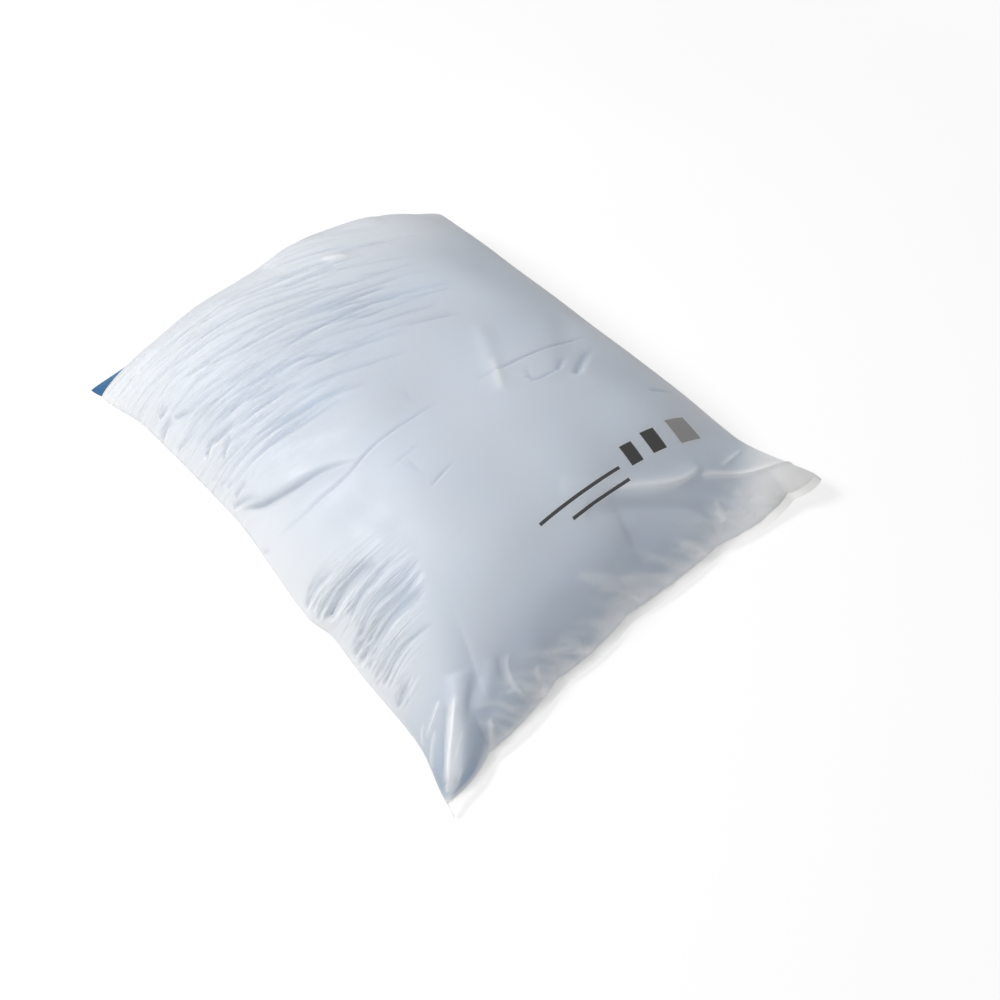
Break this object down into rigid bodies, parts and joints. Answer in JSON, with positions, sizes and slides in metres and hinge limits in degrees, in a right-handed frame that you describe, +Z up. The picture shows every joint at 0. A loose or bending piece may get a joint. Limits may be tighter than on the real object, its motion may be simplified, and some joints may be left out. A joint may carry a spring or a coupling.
{
  "type": "poly mailer bag",
  "caption": "Filled film mailer: a thin milky film tube, welded across its bottom and open at its mouth, stuffed with a soft blue cushion and lying on its back panel.",
  "frame": {"origin": "under the middle of the bag's bounding box, on the surface that it lies on", "axes": "+X across the bag, +Y along it from the bottom weld to the mouth, +Z up through the front panel"},
  "size_m": [0.437, 0.5046, 0.12],
  "materials": {
    "film": "milky translucent film with a soft sheen",
    "cushion": "plain woven blue cover"
  },
  "bodies": {
    "root": {"film_bag": "film", "packed_cushion": "cushion"}
  },
  "joints": []
}
